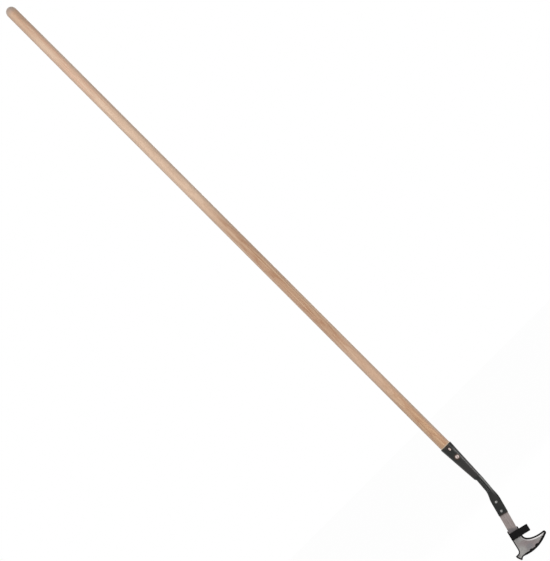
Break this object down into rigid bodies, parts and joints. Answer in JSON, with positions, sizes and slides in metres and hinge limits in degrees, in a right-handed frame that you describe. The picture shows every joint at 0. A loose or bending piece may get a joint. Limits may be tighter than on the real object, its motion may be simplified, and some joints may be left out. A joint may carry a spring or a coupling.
{
  "type": "crack weeder",
  "caption": "Long-handled weeding tool: a hooked steel blade with a flared heel on a flat tang, riveted to a steel socket on a round wooden handle.",
  "frame": {"origin": "on the handle's axis, in the middle of its straight round stretch", "axes": "+Z along the handle towards the butt, +X towards the hook side, the blade's ground face looks to -Y"},
  "size_m": [0.0942, 0.0329, 1.8165],
  "materials": {
    "handle_wood": "lightly sanded ash with a thin clear oil",
    "socket_paint": "satin dark grey paint",
    "zinc_steel": "pale dull steel",
    "tang_steel": "matt flat bar, lightly brushed",
    "rivet_steel": "hammered bare steel",
    "blade_steel": "ground face, dark scale along the edges",
    "black_bar": "matt black paint",
    "weld_metal": "rippled weld, as laid"
  },
  "bodies": {
    "root": {"handle": "handle_wood", "socket": "socket_paint", "socket_nail": "zinc_steel", "handle_rivet": "zinc_steel", "tang": "tang_steel", "upper_tang_rivet": "rivet_steel", "lower_tang_rivet": "rivet_steel", "blade": "blade_steel", "stop_bar": "black_bar", "tang_weld": "weld_metal", "stop_weld": "weld_metal"}
  },
  "joints": []
}
